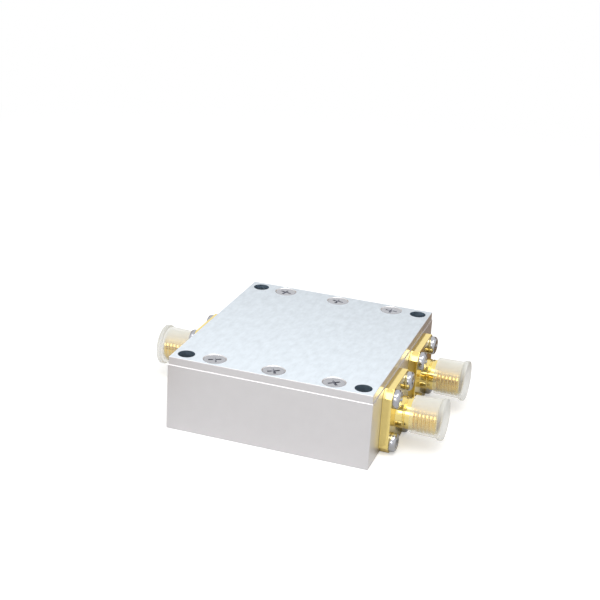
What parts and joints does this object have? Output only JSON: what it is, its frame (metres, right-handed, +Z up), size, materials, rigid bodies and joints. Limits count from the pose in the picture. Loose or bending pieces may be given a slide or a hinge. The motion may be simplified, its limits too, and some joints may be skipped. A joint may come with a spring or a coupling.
{
  "type": "antenna power splitter",
  "caption": "Flat rectangular aluminium box that splits one coaxial antenna feed into equal outputs, with threaded flange sockets on opposite faces and push-on dust caps.",
  "frame": {"origin": "centre of the box's underside", "axes": "+X towards the two outputs, +Z up through the lid, Y along the output face"},
  "size_m": [0.0602, 0.044, 0.0144],
  "materials": {
    "housing_aluminium": "milled and bead blasted, satin",
    "lid_aluminium": "bare sheet, fine matt grain",
    "screw_steel": "nickel plated, bright",
    "gold_plate": "gold plated, polished",
    "insulator_white": "machined, waxy",
    "cap_milky": "moulded, translucent, satin",
    "board_laminate": "glass laminate with lacquer",
    "track_copper": "etched copper",
    "resistor_body": "glazed ceramic",
    "solder": "bright solder"
  },
  "bodies": {
    "box": {"housing": "housing_aluminium", "lid": "lid_aluminium", "lid_screws": "screw_steel", "circuit_board": "board_laminate", "copper_tracks": "track_copper", "isolation_resistor": "resistor_body", "board_screws": "screw_steel", "solder_joints": "solder", "input_connector": "gold_plate", "input_insulator": "insulator_white", "input_contact": "gold_plate", "input_screws": "screw_steel", "output_a_connector": "gold_plate", "output_a_insulator": "insulator_white", "output_a_contact": "gold_plate", "output_a_screws": "screw_steel", "output_b_connector": "gold_plate", "output_b_insulator": "insulator_white", "output_b_contact": "gold_plate", "output_b_screws": "screw_steel"},
    "cap_input": {"input_cap": "cap_milky"},
    "cap_output_a": {"output_a_cap": "cap_milky"},
    "cap_output_b": {"output_b_cap": "cap_milky"}
  },
  "joints": [
    {"name": "input_cap_pull", "type": "slide", "parent": "box", "child": "cap_input", "axis": [-1, 0, 0], "range_m": [0, 0.012]},
    {"name": "output_a_cap_pull", "type": "slide", "parent": "box", "child": "cap_output_a", "axis": [1, 0, 0], "range_m": [0, 0.012]},
    {"name": "output_b_cap_pull", "type": "slide", "parent": "box", "child": "cap_output_b", "axis": [1, 0, 0], "range_m": [0, 0.012]}
  ]
}
